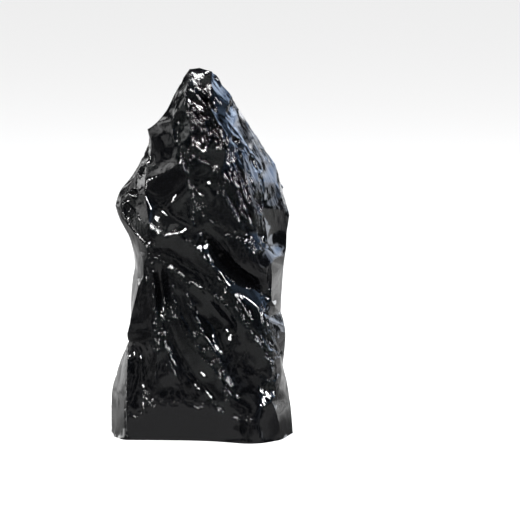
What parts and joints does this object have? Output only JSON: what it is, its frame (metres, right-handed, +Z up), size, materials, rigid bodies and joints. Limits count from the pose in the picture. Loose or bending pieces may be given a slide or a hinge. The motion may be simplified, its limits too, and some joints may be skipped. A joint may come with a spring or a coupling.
{
  "type": "obsidian block",
  "caption": "Rough block of black volcanic glass with sharp flake scars, standing on a flat sawn base.",
  "frame": {"origin": "middle of the bounding box at the level of the sawn base", "axes": "+Z up along the length of the block, +X to the viewer's right, -Y is the front"},
  "size_m": [0.0894, 0.0674, 0.18],
  "materials": {
    "obsidian": "gloss"
  },
  "bodies": {
    "root": {"obsidian_block": "obsidian"}
  },
  "joints": []
}
